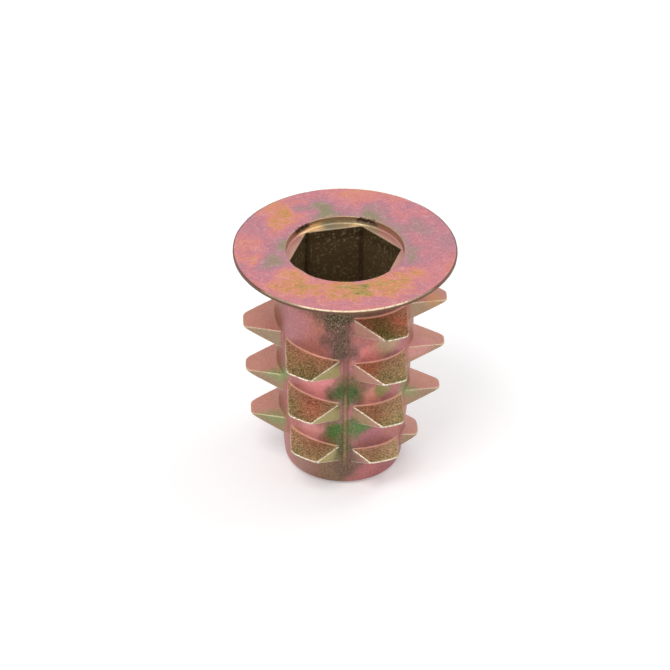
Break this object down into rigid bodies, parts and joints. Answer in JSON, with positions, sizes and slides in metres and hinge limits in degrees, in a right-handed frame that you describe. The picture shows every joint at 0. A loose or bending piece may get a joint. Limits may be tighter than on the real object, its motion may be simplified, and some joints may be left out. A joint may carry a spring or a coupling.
{
  "type": "threaded insert",
  "caption": "Flanged screw-in insert for wood: hex socket and machine-thread bore inside, tapered body with a coarse knife thread broken into lobes outside.",
  "frame": {"origin": "centre of the lower end face, on the axis of the bore", "axes": "+Z along the bore axis towards the flange; -Y through the front notch in the knife thread, where the thread starts below the flange; +X to the right seen from that side"},
  "size_m": [0.0136, 0.0136, 0.015],
  "materials": {
    "plated_zinc": "satin die-cast zinc with iridescent yellow passivated plating, rose with gold, green and violet patches"
  },
  "bodies": {
    "root": {"insert_body": "plated_zinc"}
  },
  "joints": []
}
